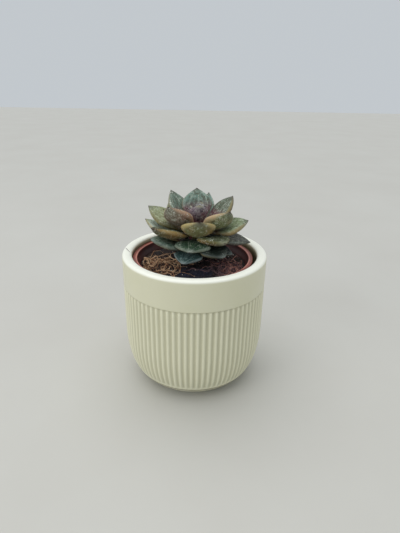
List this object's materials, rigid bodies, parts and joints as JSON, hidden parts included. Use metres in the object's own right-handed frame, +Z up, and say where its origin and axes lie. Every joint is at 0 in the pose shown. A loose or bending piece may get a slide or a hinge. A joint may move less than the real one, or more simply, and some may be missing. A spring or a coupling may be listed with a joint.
{
  "type": "potted echeveria",
  "caption": "Echeveria rosette of thick pointed leaves in a thin nursery pot, standing in a round glazed cover pot with a plain band and a fluted body.",
  "frame": {"origin": "centre of the cover pot's foot, on the surface that it stands on", "axes": "+Z up along the pot's axis; -Y towards the side that the picture shows"},
  "size_m": [0.08, 0.08, 0.1082],
  "materials": {
    "cream_glaze": "satin glazed ceramic",
    "terracotta_plastic": "matte thin plastic",
    "dark_peat": "rough peat and coir",
    "stem_skin": "matte plant stem",
    "young_leaf_skin": "waxy young leaf",
    "upper_leaf_skin": "waxy leaf",
    "middle_leaf_skin": "waxy leaf",
    "lower_leaf_skin": "waxy leaf"
  },
  "bodies": {
    "root": {"cover_pot": "cream_glaze", "nursery_pot": "terracotta_plastic", "soil": "dark_peat", "stem": "stem_skin", "heart": "young_leaf_skin", "leaf_01": "lower_leaf_skin", "leaf_02": "lower_leaf_skin", "leaf_03": "lower_leaf_skin", "leaf_04": "lower_leaf_skin", "leaf_05": "lower_leaf_skin", "leaf_06": "lower_leaf_skin", "leaf_07": "lower_leaf_skin", "leaf_08": "lower_leaf_skin", "leaf_09": "middle_leaf_skin", "leaf_10": "middle_leaf_skin", "leaf_11": "middle_leaf_skin", "leaf_12": "middle_leaf_skin", "leaf_13": "middle_leaf_skin", "leaf_14": "middle_leaf_skin", "leaf_15": "middle_leaf_skin", "leaf_16": "middle_leaf_skin", "leaf_17": "upper_leaf_skin", "leaf_18": "upper_leaf_skin", "leaf_19": "upper_leaf_skin", "leaf_20": "upper_leaf_skin", "leaf_21": "upper_leaf_skin", "leaf_22": "upper_leaf_skin", "leaf_23": "upper_leaf_skin", "leaf_24": "upper_leaf_skin", "leaf_25": "upper_leaf_skin"}
  },
  "joints": []
}
